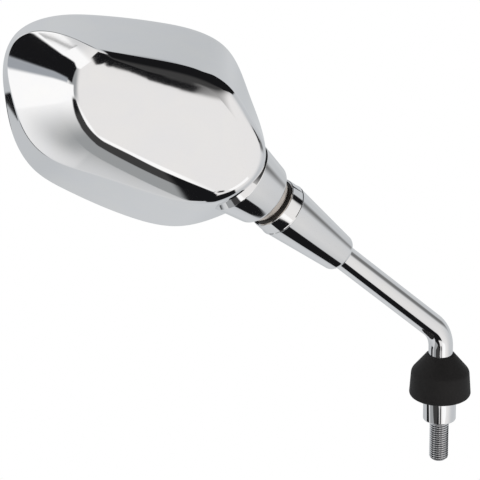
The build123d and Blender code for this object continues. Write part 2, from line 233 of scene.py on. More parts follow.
liner_nylon, tree, shader = mottled(
    "liner_nylon", (0.03, 0.026, 0.022), 0.0, 0.4,
    200, 3, (0.024, 0.021, 0.018), (0.036, 0.031, 0.027),
)
dulled(tree, shader, noise(tree, 300, 3), 0.32, 0.5)

insert_nylon, tree, shader = mottled(
    "insert_nylon", (0.62, 0.61, 0.56), 0.0, 0.45, 150, 3, (0.58, 0.57, 0.52), (0.66, 0.65, 0.6)
)
print("finishes made:", carrier_plastic.name, liner_nylon.name, insert_nylon.name)

# %% Foam and zinc plate
pad_foam, tree, shader = mottled(
    "pad_foam", (0.03, 0.03, 0.03), 0.0, 0.9, 2500, 2, (0.02, 0.02, 0.02), (0.05, 0.05, 0.05)
)
bumped(tree, shader, noise(tree, 2500, 2), 0.5, 0.0001)

zinc_plate, tree, shader = mottled(
    "zinc_plate", (0.55, 0.55, 0.57), 1.0, 0.35, 120, 5, (0.48, 0.48, 0.5), (0.62, 0.62, 0.63)
)
dulled(tree, shader, noise(tree, 400, 4), 0.28, 0.45)
print("finishes made:", pad_foam.name, zinc_plate.name)

# %% [markdown]
# ## The glass
# The mirror glass is silvered behind, so what one sees is a mirror under a clear front
# face. It could be a thin sheet of real glass over metal, but that needs two surfaces and
# costs time to trace. A metal with a clear coat looks the same on one surface.

# %% Silvered glass
silvered_glass, tree, shader = mottled(
    "silvered_glass", (0.86, 0.875, 0.88), 1.0, 0.02,
    12, 2, (0.85, 0.867, 0.872), (0.87, 0.88, 0.885),
)
shader.inputs["Coat Weight"].default_value = 1.0
shader.inputs["Coat Roughness"].default_value = 0.01
print("finish made:", silvered_glass.name)

# %% [markdown]
# ## Pieces whose solids already look right
# The nuts, washers and springs, the liner, the carrier tray and the glass could be made
# again too. They are hidden or plain, and their solids serve as they are, so each only
# gets its finish in its material slot.

# %% Dress the solids that stay
stay = {
    "glass_carrier": carrier_plastic,
    "glass_pad": pad_foam,
    "mirror_glass": silvered_glass,
    "friction_liner": liner_nylon,
    "nut_insert": insert_nylon,
    "lock_nut": zinc_plate,
    "lock_washer": zinc_plate,
    "seat_washer": zinc_plate,
    "spring_disc_lower": zinc_plate,
    "spring_disc_upper": zinc_plate,
    "spring_washer": zinc_plate,
    "joint_nut": zinc_plate,
}
for node, finish in stay.items():
    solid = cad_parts[node]
    solid.data.materials.clear()
    solid.data.materials.append(finish)
print("solids dressed:", len(stay))

# %% [markdown]
# ## From grids to pieces
# Nearly every piece here is long or round, so its surface is a grid: rows that run along
# the piece and columns that run round it. Modifiers such as Screw could make some of
# them, but a grid gives every point one by one, also on the housing. One helper turns grids
# into an object. It welds points that coincide, and it marks an edge as sharp where two
# faces meet at a large angle, so that smooth shading stays off real corners.

# %% Helper: grids to one object
METRE = 0.001
WELD = 1e-7


def grid_faces(builder, grid, covered):
    """Adds a grid that is closed round its columns, without its covered faces."""
    rows, columns, _ = grid.shape
    corners = [[builder.verts.new(point * METRE) for point in row] for row in grid]
    for row in range(rows - 1):
        for column in range(columns):
            after = (column + 1) % columns
            if covered[row : row + 2, [column, after]].all():
                continue
            lower, upper = corners[row], corners[row + 1]
            builder.faces.new((lower[column], lower[after], upper[after], upper[column]))


def grid_piece(name, grids, finish, body, replaced, sharp_angle=35, hidden=None):
    """Makes one object from grids in millimetres. Faces that hidden finds are left out."""
    builder = bmesh.new()
    for grid in grids:
        covered = hidden(grid) if hidden else np.zeros(grid.shape[:2], bool)
        grid_faces(builder, grid, covered)
    loose = [point for point in builder.verts if not point.link_faces]
    bmesh.ops.delete(builder, geom=loose, context="VERTS")
    bmesh.ops.remove_doubles(builder, verts=builder.verts, dist=WELD)
    bmesh.ops.recalc_face_normals(builder, faces=builder.faces)
    for face in builder.faces:
        face.smooth = True
    for edge in builder.edges:
        if len(edge.link_faces) == 2:
            edge.smooth = edge.calc_face_angle(0.0) < radians(sharp_angle)
    mesh = bpy.data.meshes.new(name)
    builder.to_mesh(mesh)
    builder.free()
    mesh.materials.append(finish)
    piece = bpy.data.objects.new(name, mesh)
    scene.collection.objects.link(piece)
    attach(piece, body)
    if replaced:
        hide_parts(replaced)
    print(name, "faces:", len(mesh.polygons))
    return piece


# %% [markdown]
# ## The stem's line
# The bar stands up from its foot, bends once, and climbs to the joint. The line could be
# a curve object, but a few lengths and one angle describe it fully. They repeat those of
# the solids, and everything on the stem and head hangs on them.

# %% Stem line and joint
inclination = radians(42.0)
shoulder_height = 17.0
boot_overlap = 3.4
boot_height = 23.0
boot_level = shoulder_height - boot_overlap
boot_top = boot_level + boot_height
bend_radius = 17.5
bend_run = bend_radius * tan((pi / 2 - inclination) / 2)
above_boot = 4.2
bend_level = boot_top + above_boot + bend_run
stem_reach = 138.0
climb = np.array((-cos(inclination), 0.0, sin(inclination)))
joint = np.array((0.0, 0.0, bend_level)) + climb * stem_reach
upright = np.array((0.0, 0.0, 1.0))
print("joint centre:", joint.round(2))

# %% [markdown]
# ## The stem
# A bent bar is a circle swept along a line. A curve with a round bevel would do it, but
# this bar also steps down at both ends, where its foot and its top are turned thinner for
# their threads. The line lies in one plane, so each ring only needs a centre, a direction
# and a radius, and the rings can crowd together in the bend.

# %% Rings along the stem
washer_height = 1.6
nut_height = 6.5
nut_room = 1.0
foot_level = shoulder_height + washer_height + nut_height + nut_room
foot_end = 5.0
foot_radius = 5.0
foot_taper = 0.4
foot_bevel = 0.6
bar_radius = 6.25
spigot_radius = 4.0
spigot_foot = -18.4
spigot_end = 9.7
spigot_bevel = 0.8


def stem_stations():
    """Centre, direction and radius of each ring, from the foot to the joint."""
    stations = []
    upright_part = [
        (foot_end, foot_radius - foot_taper),
        (foot_end + foot_bevel, foot_radius),
        (foot_level, foot_radius),
        (foot_level, bar_radius),
    ]
    bend_start = bend_level - bend_run
    upright_part += [(level, bar_radius) for level in np.linspace(foot_level + 2, bend_start, 8)]
    for level, radius in upright_part:
        stations.append((upright * level, upright, radius))
    hub = np.array((-bend_radius, 0.0, bend_start))
    for angle in np.linspace(0, pi / 2 - inclination, 33)[1:]:
        centre = hub + bend_radius * np.array((cos(angle), 0.0, sin(angle)))
        stations.append((centre, np.array((-sin(angle), 0.0, cos(angle))), bar_radius))
    climbing_part = [(drop, bar_radius) for drop in (-100.0, -80.0, -60.0, -40.0, spigot_foot)]
    climbing_part += [
        (spigot_foot, spigot_radius),
        (spigot_end - spigot_bevel, spigot_radius),
        (spigot_end, spigot_radius - spigot_bevel),
    ]
    for drop, radius in climbing_part:
        stations.append((joint + climb * drop, climb, radius))
    return stations


print("rings along the stem:", len(stem_stations()))


# %% Sweep the stem
def spokes(axis, columns):
    """Unit directions all round an axis that lies in the stem's plane."""
    side = np.array((0.0, 1.0, 0.0))
    other = np.cross(axis, side)
    angles = np.arange(columns) * 2 * pi / columns
    return np.cos(angles)[:, None] * side + np.sin(angles)[:, None] * other


stem = np.stack(
    [centre + radius * spokes(direction, 96) for centre, direction, radius in stem_stations()]
)
grid_piece("stem_bar", [stem], bar_chrome, "stem", "stem_rod")

# %% [markdown]
# ## Turned pieces
# The sleeve, shoulder, boot and neck are all round about an axis, as from a lathe. A
# cylinder with bevels would come close, but a lathe follows a drawn profile. So a profile
# is a list of corners with a fillet at each, and turning it gives a grid.

# %% Helpers: rounded profiles, arcs and turning
def rounded(corners, steps=6):
    """Line through corners, each given as radius, height and fillet."""
    line = []
    for index, (radius, height, fillet) in enumerate(corners):
        here = np.array((radius, height), float)
        if fillet == 0 or index in (0, len(corners) - 1):
            line.append(here)
            continue
        before = np.array(corners[index - 1][:2], float) - here
        after = np.array(corners[index + 1][:2], float) - here
        before /= np.linalg.norm(before)
        after /= np.linalg.norm(after)
        half = acos(np.clip(before @ after, -1, 1)) / 2
        bisector = (before + after) / np.linalg.norm(before + after)
        centre = here + bisector * fillet / sin(half)
        start = here + before * fillet / tan(half) - centre
        end = here + after * fillet / tan(half) - centre
        for share in np.arange(steps + 1) / steps:
            ray = start * (1 - share) + end * share
            line.append(centre + ray / np.linalg.norm(ray) * fillet)
    return np.array(line)


def arc(radius, first_angle, last_angle, steps):
    """Arc round the joint's centre, with angles from the downward axis."""
    angles = np.radians(np.linspace(first_angle, last_angle, steps))
    return np.stack([radius * np.sin(angles), -radius * np.cos(angles)], 1)


def turned(profile, centre, axis, columns=128):
    """Grid of a profile of radius and height, turned round an axis."""
    profile = np.array(profile, float)
    rings = profile[:, :1, None] * spokes(axis, columns)[None] + profile[:, 1:, None] * axis
    return centre + rings


print("turning helpers:", rounded.__name__, arc.__name__, turned.__name__)

# %% [markdown]
# ## The sleeve and its cup
# The sleeve is a turned piece: a cone that grips the top of the stem, a narrow collar
# above a raised line, and a round cup in its end for the ball joint. It could be a plain
# cone, but turned pieces have small broken edges, and in chrome those edges are what
# catches the light. So the profile draws each of them.

# %% Turn the sleeve
cup_radius = 14.4
cup_depth = 8.0
cup_rim = sqrt(cup_radius**2 - cup_depth**2)
seat_gap = 0.06
seat_radius = cup_radius + seat_gap
spigot_bore = 4.05
stem_bore = 6.3
collar_wall = 1.0
line_level = -15.0
line_half = 0.2
line_reach = 0.5
line_wall = 1.7
line_foot_wall = 1.45
sleeve_foot = -57.5
sleeve_foot_radius = 9.2
seat_start = degrees(asin(spigot_bore / seat_radius))
seat_end = degrees(asin(cup_rim / seat_radius)) - 1
cup_seat = arc(seat_radius, seat_start, seat_end, 40)
sleeve_outside = rounded(
    [
        (cup_rim + seat_gap, -cup_depth, 0),
        (cup_rim + collar_wall, -cup_depth, 0.35),
        (cup_rim + line_foot_wall, line_level + line_reach, 0.1),
        (cup_rim + line_wall, line_level + line_half, 0.15),
        (cup_rim + line_wall, line_level - line_half, 0.15),
        (cup_rim + line_foot_wall, line_level - line_reach, 0.1),
        (sleeve_foot_radius, sleeve_foot, 2.4),
        (stem_bore, sleeve_foot, 0),
        (stem_bore, spigot_foot, 0),
        (spigot_bore, spigot_foot, 0),
    ]
)
sleeve_grid = turned(np.vstack([cup_seat, sleeve_outside]), joint, climb)
grid_piece("sleeve", [sleeve_grid], bar_chrome, "stem", "stem_sleeve")

# %% [markdown]
# ## The shoulder
# Below the boot stands a round chromed shoulder, bored for the stem's foot. It is one
# turned piece with the stud. Its edges are lightly rounded so that they show as thin
# bright lines, which a plain cylinder would not give.

# %% Turn the shoulder
origin = np.zeros(3)
shoulder_radius = 8.5
foot_bore = 5.05
shoulder = rounded(
    [
        (4.6, -0.4, 0),
        (4.9, 0.0, 0),
        (shoulder_radius, 0.0, 0.5),
        (shoulder_radius, shoulder_height, 0.5),
        (foot_bore, shoulder_height, 0),
        (foot_bore, foot_end, 0),
        (0.0, foot_end, 0),
    ]
)
shoulder_grid = turned(shoulder, origin, upright)
grid_piece("shoulder_turned", [shoulder_grid], bar_chrome, "base", "adaptor_stud")

# %% [markdown]
# ## The stud's thread
# The stud screws into the clamp with a fine metric thread. Rings stacked on each other
# would look like one from afar, but a real thread is a helix. So the radius of each point
# depends on its height and its angle together: going once round the stud shifts the
# pattern by one pitch. The last turns fade out under the shoulder, and the tip is bevelled.

# %% Cut the thread
pitch = 1.25
crest_radius = 5.0
thread_depth = 0.76
# Valley and flank are shares of one pitch, counted from the middle of a crest.
valley_start = 0.375
flank_share = 0.3125
run_out_level = -0.9
run_out = 0.8
groove_level = -1.6
groove_run = 0.7
groove_depth = 0.4
thread_top = -0.3
thread_end = -23.0
thread_columns = 80
tip_bevel = 1.3
tip_radius = 3.6


def thread_radius(level, angle):
    """Radius of the stud at a height and an angle."""
    phase = np.mod(level / pitch - angle / (2 * pi), 1.0)
    tooth = np.clip((valley_start - np.abs(phase - 0.5)) / flank_share, 0.0, 1.0)
    fade = np.clip((run_out_level - level) / run_out, 0.0, 1.0)
    groove = np.clip((level - groove_level) / groove_run, 0.0, 1.0) * groove_depth
    radius = crest_radius - thread_depth * (1 - tooth) * fade - groove
    return np.minimum(radius, crest_radius - tip_bevel + np.clip(level - thread_end, 0.0, None))


levels = np.arange(thread_end, thread_top, pitch / 16)[:, None]
angles = np.arange(thread_columns)[None] * 2 * pi / thread_columns
radii = thread_radius(levels, angles)
heights = np.broadcast_to(levels, radii.shape)
thread = np.stack([radii * np.cos(angles), radii * np.sin(angles), heights], 2)
tip = turned([(0.0, thread_end), (tip_radius, thread_end)], origin, upright, thread_columns)
grid_piece("stud_thread", [tip, thread], thread_chrome, "base", None, 50)

# %% [markdown]
# ## The rubber boot
# A thick rubber bell slides over the lock nut. Two cones would give its outline, but it
# is moulded, so it has generous rounds, a thin lip where it hugs the stem, and a hollow
# inside. All of that fits in one turned profile that closes on itself.

# %% Turn the boot
boot_bore = 10.7
boot_grip = 6.35
boot_lip = 1.0
boot_radius = 16.0
boot_side_radius = 15.0
boot_side = 13.6
hollow_taper = 4.2
boot = rounded(
    [
        (boot_bore, foot_level, 0),
        (boot_bore, boot_level + 0.3, 0),
        (boot_bore + 0.3, boot_level, 0),
        (boot_radius, boot_level, 1.8),
        (boot_side_radius, boot_level + boot_side, 4.0),
        (boot_grip + boot_lip, boot_top - 0.1, 0.5),
        (boot_grip, boot_top, 0),
        (boot_grip, foot_level + hollow_taper, 0),
        (boot_bore, foot_level, 0),
    ],
    8,
)
boot_grid = turned(boot, origin, upright)
grid_piece("boot_bell", [boot_grid], boot_rubber, "boot", "rubber_boot", 40)

# %% [markdown]
# ## The housing's outlines
# The moulded housing is the piece that needs most care. Its flanks are straight lines
# from the rim's outline up to a smaller outline, and its back is a crowned panel with a
# skirt that falls away. It could be sculpted from a box with subdivision, but chrome shows
# every unevenness of such a net. Outlines through a few points stay smooth all the way.
# The head has its own axes: across, up, and back towards the camera.

# %% Axes and points of the housing
yaw = radians(23.5)
lean = radians(16.0)
across = np.array((cos(yaw), -sin(yaw), 0.0))
backwards = np.array((-sin(yaw) * cos(lean), -cos(yaw) * cos(lean), sin(lean)))
upwards = np.cross(backwards, across)
head_reach = 58.0
head_rise = 36.5
head_depth = 16.0
head_centre = joint - across * head_reach + upwards * head_rise - backwards * head_depth

rim_points = [
    (-38.0, 50.5), (-15.5, 50.5), (14.5, 46.0), (30.0, 42.0), (44.5, 33.5), (55.0, 11.0),
    (62.0, -16.0), (60.0, -30.0), (50.8, -41.2), (37.8, -47.6), (18.6, -51.4), (-4.5, -46.0),
    (-34.0, -32.0), (-48.5, -22.0), (-56.0, -10.5), (-61.0, 13.0), (-60.5, 31.5), (-55.0, 42.5),
]
shoulder_points = [
    (-27.0, 33.0), (-9.0, 31.0), (14.0, 27.0), (30.0, 23.0), (43.0, 16.5), (53.0, 1.5),
    (59.5, -16.0), (57.0, -26.5), (49.0, -35.0), (37.0, -39.0), (21.0, -37.5), (0.0, -29.0),
    (-22.0, -18.0), (-33.0, -11.0), (-40.0, -3.0), (-44.0, 12.0), (-43.0, 24.0), (-37.0, 30.5),
]
back_points = [
    (-74.0, 2.0), (-66.0, 12.0), (-48.0, 27.5), (-20.0, 38.5), (20.0, 43.0), (74.0, 44.0),
]
skirt_points = [
    (-6.3, 39.4), (-18.4, 29.4), (-24.3, 23.4), (-27.2, 15.0), (-26.2, 2.5), (-20.8, -9.4),
    (-10.5, -18.9), (7.3, -30.1), (25.7, -39.3), (47.6, -48.6),
]
print("points of rim and shoulder:", len(rim_points), len(shoulder_points))


# %% Smooth lines through the points
def smooth_line(points, places, closed):
    """Cubic line through points, read at places from 0 to 1 of its chord length."""
    points = np.array(points, float)
    if closed:
        points = np.vstack([points[-4:], points, points[:5]])
    chords = np.linalg.norm(np.diff(points, axis=0), axis=1)
    knots = np.concatenate([[0.0], np.cumsum(chords)])
    count = len(points)
    system = np.eye(count)
    target = np.zeros((count, 2))
    for i in range(1, count - 1):
        system[i, i - 1 : i + 2] = chords[i - 1], 2 * (chords[i - 1] + chords[i]), chords[i]
        slope_after = (points[i + 1] - points[i]) / chords[i]
        slope_before = (points[i] - points[i - 1]) / chords[i - 1]
        target[i] = 6 * (slope_after - slope_before)
    bends = np.linalg.solve(system, target)
    first, last = (knots[4], knots[-5]) if closed else (0.0, knots[-1])
    place = first + np.asarray(places) * (last - first)
    i = np.clip(np.searchsorted(knots, place, side="right") - 1, 0, count - 2)
    span = chords[i][:, None]
    to_end = (knots[i + 1] - place)[:, None]
    from_start = (place - knots[i])[:, None]
    return (
        bends[i] * to_end**3 / (6 * span)
        + bends[i + 1] * from_start**3 / (6 * span)
        + (points[i] / span - bends[i] * span / 6) * to_end
        + (points[i + 1] / span - bends[i + 1] * span / 6) * from_start
    )


back_line = smooth_line(back_points, np.linspace(0, 1, 600), False)
skirt_line = smooth_line(skirt_points, np.linspace(0, 1, 400), False)
far_steps = 150
far_start = skirt_line[0] + (skirt_line[0] - skirt_line[1]) * far_steps
far_end = skirt_line[-1] + (skirt_line[-1] - skirt_line[-2]) * far_steps
skirt_line = np.vstack([far_start, skirt_line, far_end])
print("skirt line points:", len(skirt_line))

# %% [markdown]
# ## The height of the back
# The back is a gently crowned panel with a skirt that slopes down to the rim at the far
# end. Two surfaces could be cut with a boolean and filleted, but fillets on such a fold
# often fail. Here the back is a height at each place across and up: the skirt is a ramp
# that depends on the distance from a line, and a soft minimum rounds the fold between
# ramp and panel, as the mould's fillet does.

# %% Distance from the skirt's line
batch = 5000


def skirt_distance(u, v):
    """Distance to the skirt's line, positive on the panel's side."""
    places = np.stack([u.ravel(), v.ravel()], 1)
    distance = np.empty(len(places))
    starts = skirt_line[:-1]
    runs = np.diff(skirt_line, axis=0)
    lengths = (runs**2).sum(1)
    for first in range(0, len(places), batch):
        part = places[first : first + batch]
        rays = part[:, None] - starts[None]
        share = np.clip((rays * runs).sum(2) / lengths, 0, 1)
        gaps = ((rays - share[..., None] * runs) ** 2).sum(2)
        nearest = gaps.argmin(1)
        index = np.arange(len(part))
        ray = rays[index, nearest]
        turn = runs[nearest, 0] * ray[:, 1] - runs[nearest, 1] * ray[:, 0]
        distance[first : first + batch] = np.sqrt(gaps[index, nearest]) * np.sign(turn)
    return distance.reshape(u.shape)


print("distance at the panel's middle:", skirt_distance(np.array([10.0]), np.array([0.0])).round(2))

# %% Height of the back
shoulder_level = 36.0
skirt_slope = 1 / tan(radians(47.0))
crown_radius = 220.0
crown_level = 44.0
back_turn = radians(-14.0)
fold_reach = 5.0


def soft_min(a, b, reach):
    """Smaller of two heights, with the fold between them rounded off."""
    overlap = np.clip(reach - np.abs(a - b), 0, None) / reach
    return np.minimum(a, b) - overlap**2 * reach / 4


def panel_height(u, v):
    """Height of the crowned panel."""
    along = u * cos(back_turn) + v * sin(back_turn)
    aside = v * cos(back_turn) - u * sin(back_turn)
    radius = np.interp(along, back_line[:, 0], back_line[:, 1]) + crown_radius - crown_level
    return np.sqrt(radius**2 - aside**2) - crown_radius + crown_level


def skirt_height(u, v):
    """Height of the skirt's ramp."""
    return shoulder_level + skirt_distance(u, v) * skirt_slope


def back_height(u, v):
    return soft_min(panel_height(u, v), skirt_height(u, v), fold_reach)


print("panel's middle stands at", back_height(np.array([10.0]), np.array([0.0])).round(2))

# %% [markdown]
# ## Where flank and back meet
# Each flank line climbs from the rim until it reaches the back. The meeting point has no
# simple formula, because the back is bent two ways. It could be found by intersecting
# meshes, but halving the span again and again finds it to a hair on all columns at once.

# %% Find the housing's corner line
skin_columns = 480
crest_level = 48.0


def outline(points):
    """Closed outline with one point for each column of the skin."""
    return smooth_line(points, np.arange(skin_columns) / skin_columns, True)


rim = outline(rim_points)
climb_share = crest_level / shoulder_level
top_points = np.array(rim_points) + (np.array(shoulder_points) - np.array(rim_points)) * climb_share
top = outline(top_points)
low = np.zeros(skin_columns)
high = np.full(skin_columns, crest_level)
for _ in range(24):
    middle = (low + high) / 2
    tried = rim + (top - rim) * (middle / crest_level)[:, None]
    below = middle < back_height(tried[:, 0], tried[:, 1])
    low = np.where(below, middle, low)
    high = np.where(below, high, middle)
level = (low + high) / 2
corner = rim + (top - rim) * (level / crest_level)[:, None]
print("corner line stands between", level.min().round(1), "and", level.max().round(1))

# %% [markdown]
# ## The rounded crest
# A moulded corner is never sharp. A bevel modifier would round all of it alike, but this
# crest is broad round the panel and crisp below the skirt. So each column gets its own
# curve in place of the corner, from a point on the flank to a point on the back.

# %% Round the crest
crest_round = 8.0
crease_round = 3.0
skirt_fade = 6.0
first_step = 0.4
flank_limit = 0.6
heart = np.array((4.0, -4.0))

rim_point = np.column_stack([rim, np.zeros(skin_columns)])
corner_point = np.column_stack([corner, level])
up_flank = np.column_stack([top - rim, np.full(skin_columns, crest_level)])
up_flank /= np.linalg.norm(up_flank, axis=1)[:, None]
inwards = heart - corner
heart_distance = np.linalg.norm(inwards, axis=1)
inwards /= heart_distance[:, None]


def on_back(distance):
    """Points on the back, at a distance in from the corner line."""
    u = corner[:, 0] + inwards[:, 0] * distance
    v = corner[:, 1] + inwards[:, 1] * distance
    return np.stack([u, v, back_height(u, v)], -1)


def smoothed_ring(values, width):
    """Evens out values that run once round the rim."""
    reach = np.arange(-3 * width, 3 * width + 1)
    weights = np.exp(-0.5 * (reach / width) ** 2)
    padded = np.concatenate([values[-3 * width :], values, values[: 3 * width]])
    return np.convolve(padded, weights / weights.sum(), mode="valid")


over_back = on_back(np.full(skin_columns, first_step)) - corner_point
over_back /= np.linalg.norm(over_back, axis=1)[:, None]
bend = np.arccos(np.clip((up_flank * over_back).sum(1), -1, 1))
flank_length = np.linalg.norm(corner_point - rim_point, axis=1)
above = skirt_height(corner[:, 0], corner[:, 1]) - panel_height(corner[:, 0], corner[:, 1])
round_radius = np.interp(above, (-skirt_fade, 0.0), (crease_round, crest_round))
tangent = np.minimum(round_radius * np.tan(bend / 2), flank_limit * flank_length)
tangent = smoothed_ring(tangent, 4)
round_start = corner_point - up_flank * tangent[:, None]
back_run = tangent * np.linalg.norm(over_back[:, :2], axis=1)
round_end = on_back(back_run)
print("crest curves reach", tangent.min().round(1), "to", tangent.max().round(1), "mm down the flank")


# %% [markdown]
# ## The housing's skin
# The skin is one grid that runs from the carrier's pocket round the rim, up the flank,
# over the crest and on along the back to the middle of the panel. It could be several
# patches joined at their edges, but chrome shows every such join as a kink. In one grid
# there is none. The rows on the back crowd together where the shape turns quickest.

# %% Lay the rows of rim, flank and crest
def curve_rows(start, control, end, steps):
    """Rows along a curve that leaves its start and meets its end by way of a control point."""
    return [(1 - s) ** 2 * start + 2 * s * (1 - s) * control + s**2 * end for s in steps]


wall = 2.5
wall_bevel = 0.3
pocket_depth = 7.0
edge_round = 0.8
along = np.roll(rim, -1, axis=0) - np.roll(rim, 1, axis=0)
along /= np.linalg.norm(along, axis=1)[:, None]
inset = np.column_stack([along[:, 1], -along[:, 0], np.zeros(skin_columns)])
pocket = rim_point + up_flank * (pocket_depth / up_flank[:, 2])[:, None] + inset * wall
edge_start = rim_point + inset * edge_round
edge_end = rim_point + up_flank * edge_round
past_first = np.linspace(0, 1, 15)[1:]

rows = [pocket, rim_point + inset * wall + (0, 0, wall_bevel)]
rows.append(rim_point + inset * (wall - wall_bevel))
rows += curve_rows(edge_start, rim_point, edge_end, np.linspace(0, 1, 7))
rows += [edge_end + (round_start - edge_end) * step for step in past_first]
rows += curve_rows(round_start, corner_point, round_end, past_first)
print("rows up to the back:", len(rows))

# %% Lay the rows of the back
heart_share = 0.985
crowd = 5
crowd_reach = 4.0
trial_run = heart_distance * heart_share - back_run
trial = back_run[:, None] + trial_run[:, None] * np.linspace(0, 1, 120)
u = corner[:, :1] + inwards[:, :1] * trial
v = corner[:, 1:] + inwards[:, 1:] * trial
from_fold = (skirt_height(u, v) - panel_height(u, v)) / crowd_reach
crowding = 1 + crowd * np.exp(-(from_fold**2))
total = np.cumsum((crowding[:, 1:] + crowding[:, :-1]) / 2, axis=1)
total = np.column_stack([np.zeros(skin_columns), total]) / total[:, -1:]
wanted = np.linspace(0, 1, 111)[1:]
chosen = np.stack([np.interp(wanted, total[i], trial[i]) for i in range(skin_columns)], 1)
rows += [on_back(distance) for distance in chosen]
heart_height = back_height(heart[:1], heart[1:])[0]
rows.append(np.tile((*heart, heart_height), (skin_columns, 1)))


def on_head(grid):
    """Moves a grid from the head's own axes to the frame of the solids."""
    placed = grid[..., :1] * across + grid[..., 1:2] * upwards + grid[..., 2:] * backwards
    return head_centre + placed


skin = on_head(np.stack(rows))
print("skin rows and columns:", skin.shape[:2])

# %% [markdown]
# ## The neck
# The neck grows out of the housing's corner. It is round about the joint's axis, so it is
# turned, and joins the skin as a second grid of the same piece. A boolean union would
# weld the two, but it also breaks up the even grids. Instead, the skin's faces that would
# run on through the neck's hollow are left out, and leave room for the joint inside.

# %% Turn the neck and make the housing
dome_radius = 13.0
neck_end = -1.5
neck_end_radius = 15.5
neck_length = 18.0
neck_slope = tan(radians(10.5))
neck_root = 30.0
neck_root_radius = 10.0
cover = 0.5
dome_end_angle = degrees(acos(-neck_end / dome_radius))
neck_outside = rounded(
    [
        (dome_radius * sin(radians(dome_end_angle)), neck_end, 0),
        (neck_end_radius, neck_end, 2.2),
        (neck_end_radius + neck_length * neck_slope, neck_end + neck_length, 0.6),
        (neck_root_radius, neck_root, 0),
        (0.0, neck_root, 0),
    ],
    10,
)


def inside_neck(grid):
    """True for points of a grid that lie well inside the neck or its dome."""
    climbed = (grid - joint) @ climb
    distance = np.linalg.norm(grid - joint, axis=-1)
    from_axis = np.sqrt(np.maximum(distance**2 - climbed**2, 0.0))
    past_end = climbed - neck_end
    in_length = (past_end > cover) & (past_end < neck_length - cover)
    in_cone = in_length & (from_axis < neck_end_radius - 2 * cover + past_end * neck_slope)
    return in_cone | (distance < dome_radius - cover)


grid_piece(
    "housing_skin",
    [skin, turned(neck_outside, joint, climb)],
    head_chrome,
    "head",
    "housing_shell",
    hidden=inside_neck,
)

# %% [markdown]
# ## The dome
# The neck ends in a dome that sits in the sleeve's cup, with a hole for the stem's end
# and a round seat inside. It belongs to the housing, and could be more rows of its grid,
# but its finish is its own: duller chrome tinted tan, a painted warm reflection. So it is a piece of
# its own on the same body.

# %% Turn the dome
dome_inside = 10.0
dome_hole = 4.5
tilt_room = 14.2
dome_hole_angle = degrees(asin(dome_hole / dome_inside)) + tilt_room
dome_profile = np.vstack(
    [
        (dome_radius, 0.0),
        arc(dome_inside, 90.0, dome_hole_angle, 16),
        arc(dome_radius, dome_hole_angle, dome_end_angle, 24),
    ]
)
dome_grid = turned(dome_profile, joint, climb)
grid_piece("neck_dome", [dome_grid], dome_tan_reflection, "head", None)

# %% [markdown]
# ## The studio's room
# Chrome has no look of its own: it shows the room. Lamps and panels could stand round the
# mirror as objects, but each would also throw its own light and shadow. Here the room is
# drawn in the world instead: pale, brightest behind the camera, with cards in it. A card
# is a patch of the room bounded by planes through its corners, and a corner is given by
# its angle from the camera's line and its turn round that line.

# %% Directions and cards in the room
world = bpy.data.worlds.new("studio_room")
scene.world = world
world.use_nodes = True
room = world.node_tree
room.nodes.clear()
way = room.nodes.new("ShaderNodeTexCoord").outputs["Generated"]


def room_way(angle, turn):
    """Direction at an angle from the camera's line, and at a turn round that line."""
    aside = view_right * cos(radians(turn)) + view_up * sin(radians(turn))
    return aside * sin(radians(angle)) + view_back * cos(radians(angle))


def side_of(direction, soft, middle=0.0):
    """1 on the side of a plane that a direction points to, 0 on the other."""
    product = room.nodes.new("ShaderNodeVectorMath")
    product.operation = "DOT_PRODUCT"
    product.inputs[1].default_value = direction
    room.links.new(way, product.inputs[0])
    ramp = room.nodes.new("ShaderNodeMapRange")
    ramp.interpolation_type = "SMOOTHSTEP"
    ramp.inputs["From Min"].default_value = middle - soft
    ramp.inputs["From Max"].default_value = middle + soft
    room.links.new(product.outputs["Value"], ramp.inputs["Value"])
    return ramp.outputs["Result"]


def card(corners, soft):
    """1 inside a card, 0 outside it. A corner's third value softens the edge it starts."""
    ways = [room_way(*corner[:2]) for corner in corners]
    heading = sum(ways, Vector())
    inside = None
    for corner, here, after in zip(corners, ways, ways[1:] + ways[:1]):
        normal = here.cross(after).normalized()
        edge_soft = corner[2] if len(corner) > 2 else soft
        mask = side_of(normal if normal.dot(heading) > 0 else -normal, edge_soft)
        if inside:
            both = room.nodes.new("ShaderNodeMath")
            both.operation = "MULTIPLY"
            room.links.new(inside, both.inputs[0])
            room.links.new(mask, both.inputs[1])
            mask = both.outputs["Value"]
        inside = mask
    return inside


print("straight behind the camera lies", tuple(round(value, 2) for value in room_way(0, 0)))

# %% [markdown]
# ## The cards
# White boards give the panel's bright rim, and dark cloths draw the black shapes that
# make chrome read as chrome. One picture of a studio could do this at once, but with
# cards each shape on the chrome can be moved by itself. A card has straight sides and no
# hollow side, so a bent border takes several that overlap. Each is a colour, a softness
# and its corners, and later ones lie over earlier ones.

# %% White boards and grey walls
softbox = (1.2, 1.19, 1.18)
white_wall = (0.98, 0.96, 0.945)
grey_wall = (0.375, 0.385, 0.39)
pale_cards = [
    (softbox, 0.03, [(40, 162), (40, 225), (88, 225), (88, 162)]),
    (grey_wall, 0.02, [(40, 195), (40, 262), (90.7, 262, 0.008), (86.9, 195, 0.28)]),
    (
        white_wall,
        0.02,
        [
            (62, 120), (62, 168), (60, 180), (60, 200), (58, 225),
            (50, 250), (42, 264), (30, 300), (30, 60),
        ],
    ),
    (grey_wall, 0.09, [(57, 144), (54, 160), (47, 178), (60, 181), (70, 166), (70, 144)]),
    (softbox, 0.045, [(46, 178), (46.5, 200), (42, 215), (60, 222), (64, 178)]),
    (softbox, 0.045, [(43, 212), (36, 228), (31, 240), (31, 256), (48, 258), (60, 215)]),
    (softbox, 0.015, [(60, 168), (60, 179), (88, 186), (88, 168.5)]),
    (softbox, 0.02, [(54, 137.5), (100, 131), (100, 150), (58, 148)]),
]
print("pale cards:", len(pale_cards))

